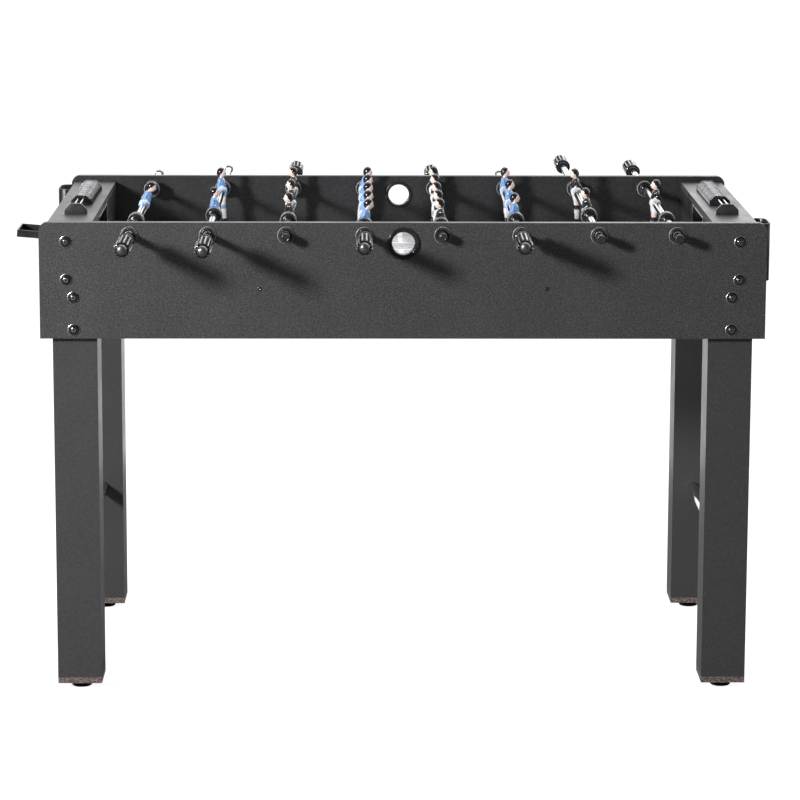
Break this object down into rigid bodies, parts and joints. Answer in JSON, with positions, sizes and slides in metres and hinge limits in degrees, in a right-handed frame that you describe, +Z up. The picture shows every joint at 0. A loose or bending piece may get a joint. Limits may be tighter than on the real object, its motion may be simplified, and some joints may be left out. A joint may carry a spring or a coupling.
{
  "type": "foosball table",
  "caption": "Free-standing table football game: walled playfield on square legs, sliding and spinning rods of players with fluted handles, scorers, ball pockets and levelling feet.",
  "frame": {"origin": "on the floor, in the middle of the four levelling feet", "axes": "+X along the table towards the right end as seen from the front, +Y from the front side panel to the rear one, +Z up"},
  "size_m": [1.3002, 1.171, 0.838],
  "materials": {
    "laminate": "satin laminate with a fine orange-peel texture, on board",
    "goal_wall": "matte dark laminate",
    "play_surface": "smooth printed laminate, light grey with white lines",
    "raw_wood": "raw particle board, unfinished",
    "chrome": "polished",
    "black_plastic": "satin moulded",
    "foot_plastic": "matte moulded",
    "pocket_plastic": "satin moulded",
    "goal_trim": "satin moulded, light grey",
    "counter_plastic": "silver, glossy",
    "handle_plastic": "glossy black",
    "rubber": "matte",
    "blue_team": "glossy painted plastic: blue shirt, white shorts, skin, black hair",
    "black_team": "glossy painted plastic: black shirt, white shorts, skin, black hair",
    "bolt_steel": "black coated steel"
  },
  "bodies": {
    "cabinet": {"side_panel_front": "laminate", "side_panel_rear": "laminate", "end_walls": "laminate", "goal_walls": "goal_wall", "end_tops": "laminate", "playfield": "play_surface", "support_blocks": "raw_wood", "leg_front_left": "laminate", "leg_front_right": "laminate", "leg_rear_left": "laminate", "leg_rear_right": "laminate", "leg_end_blocks": "raw_wood", "leg_stretchers": "chrome", "rod_bushings": "black_plastic", "ball_entry_rings": "black_plastic", "panel_bolts": "bolt_steel", "cleat_screws": "bolt_steel", "goal_boxes": "goal_trim", "scorer_frames": "black_plastic", "scorer_wires": "chrome", "end_tray": "pocket_plastic", "corner_pockets": "pocket_plastic"},
    "foot_front_left": {"leveler_front_left": "foot_plastic"},
    "foot_front_right": {"leveler_front_right": "foot_plastic"},
    "foot_rear_left": {"leveler_rear_left": "foot_plastic"},
    "foot_rear_right": {"leveler_rear_right": "foot_plastic"},
    "counters_left": {"scorer_counters_left": "counter_plastic"},
    "counters_right": {"scorer_counters_right": "counter_plastic"},
    "rod1_carriage": {"rod1_bumpers": "rubber"},
    "rod1_bar": {"rod1_tube": "chrome", "rod1_players": "blue_team", "rod1_grips": "handle_plastic"},
    "rod2_carriage": {"rod2_bumpers": "rubber"},
    "rod2_bar": {"rod2_tube": "chrome", "rod2_players": "blue_team", "rod2_grips": "handle_plastic"},
    "rod3_carriage": {"rod3_bumpers": "rubber"},
    "rod3_bar": {"rod3_tube": "chrome", "rod3_players": "black_team", "rod3_grips": "handle_plastic"},
    "rod4_carriage": {"rod4_bumpers": "rubber"},
    "rod4_bar": {"rod4_tube": "chrome", "rod4_players": "blue_team", "rod4_grips": "handle_plastic"},
    "rod5_carriage": {"rod5_bumpers": "rubber"},
    "rod5_bar": {"rod5_tube": "chrome", "rod5_players": "black_team", "rod5_grips": "handle_plastic"},
    "rod6_carriage": {"rod6_bumpers": "rubber"},
    "rod6_bar": {"rod6_tube": "chrome", "rod6_players": "blue_team", "rod6_grips": "handle_plastic"},
    "rod7_carriage": {"rod7_bumpers": "rubber"},
    "rod7_bar": {"rod7_tube": "chrome", "rod7_players": "black_team", "rod7_grips": "handle_plastic"},
    "rod8_carriage": {"rod8_bumpers": "rubber"},
    "rod8_bar": {"rod8_tube": "chrome", "rod8_players": "black_team", "rod8_grips": "handle_plastic"}
  },
  "joints": [
    {"name": "leveler_front_left", "type": "slide", "parent": "cabinet", "child": "foot_front_left", "axis": [0, 0, -1], "range_m": [0, 0.01]},
    {"name": "leveler_front_right", "type": "slide", "parent": "cabinet", "child": "foot_front_right", "axis": [0, 0, -1], "range_m": [0, 0.01]},
    {"name": "leveler_rear_left", "type": "slide", "parent": "cabinet", "child": "foot_rear_left", "axis": [0, 0, -1], "range_m": [0, 0.01]},
    {"name": "leveler_rear_right", "type": "slide", "parent": "cabinet", "child": "foot_rear_right", "axis": [0, 0, -1], "range_m": [0, 0.01]},
    {"name": "score_left", "type": "slide", "parent": "cabinet", "child": "counters_left", "axis": [0, 1, 0], "range_m": [-0.105, 0]},
    {"name": "score_right", "type": "slide", "parent": "cabinet", "child": "counters_right", "axis": [0, 1, 0], "range_m": [-0.105, 0]},
    {"name": "rod1_slide", "type": "slide", "parent": "cabinet", "child": "rod1_carriage", "axis": [0, 1, 0], "range_m": [-0.139, 0.015]},
    {"name": "rod1_spin", "type": "hinge", "parent": "rod1_carriage", "child": "rod1_bar", "pos_m": [-0.4585, 0, 0.794], "axis": [0, 1, 0], "continuous": true},
    {"name": "rod2_slide", "type": "slide", "parent": "cabinet", "child": "rod2_carriage", "axis": [0, 1, 0], "range_m": [-0.208, 0]},
    {"name": "rod2_spin", "type": "hinge", "parent": "rod2_carriage", "child": "rod2_bar", "pos_m": [-0.3275, 0, 0.794], "axis": [0, 1, 0], "continuous": true},
    {"name": "rod3_slide", "type": "slide", "parent": "cabinet", "child": "rod3_carriage", "axis": [0, 1, 0], "range_m": [-0.148, 0]},
    {"name": "rod3_spin", "type": "hinge", "parent": "rod3_carriage", "child": "rod3_bar", "pos_m": [-0.1965, 0, 0.794], "axis": [0, 1, 0], "continuous": true},
    {"name": "rod4_slide", "type": "slide", "parent": "cabinet", "child": "rod4_carriage", "axis": [0, 1, 0], "range_m": [-0.086, 0]},
    {"name": "rod4_spin", "type": "hinge", "parent": "rod4_carriage", "child": "rod4_bar", "pos_m": [-0.0655, 0, 0.794], "axis": [0, 1, 0], "continuous": true},
    {"name": "rod5_slide", "type": "slide", "parent": "cabinet", "child": "rod5_carriage", "axis": [0, 1, 0], "range_m": [-0.086, 0]},
    {"name": "rod5_spin", "type": "hinge", "parent": "rod5_carriage", "child": "rod5_bar", "pos_m": [0.0655, 0, 0.794], "axis": [0, 1, 0], "continuous": true},
    {"name": "rod6_slide", "type": "slide", "parent": "cabinet", "child": "rod6_carriage", "axis": [0, 1, 0], "range_m": [-0.148, 0]},
    {"name": "rod6_spin", "type": "hinge", "parent": "rod6_carriage", "child": "rod6_bar", "pos_m": [0.1965, 0, 0.794], "axis": [0, 1, 0], "continuous": true},
    {"name": "rod7_slide", "type": "slide", "parent": "cabinet", "child": "rod7_carriage", "axis": [0, 1, 0], "range_m": [-0.203, 0.005]},
    {"name": "rod7_spin", "type": "hinge", "parent": "rod7_carriage", "child": "rod7_bar", "pos_m": [0.3275, 0, 0.794], "axis": [0, 1, 0], "continuous": true},
    {"name": "rod8_slide", "type": "slide", "parent": "cabinet", "child": "rod8_carriage", "axis": [0, 1, 0], "range_m": [-0.154, 0]},
    {"name": "rod8_spin", "type": "hinge", "parent": "rod8_carriage", "child": "rod8_bar", "pos_m": [0.4585, 0, 0.794], "axis": [0, 1, 0], "continuous": true}
  ]
}
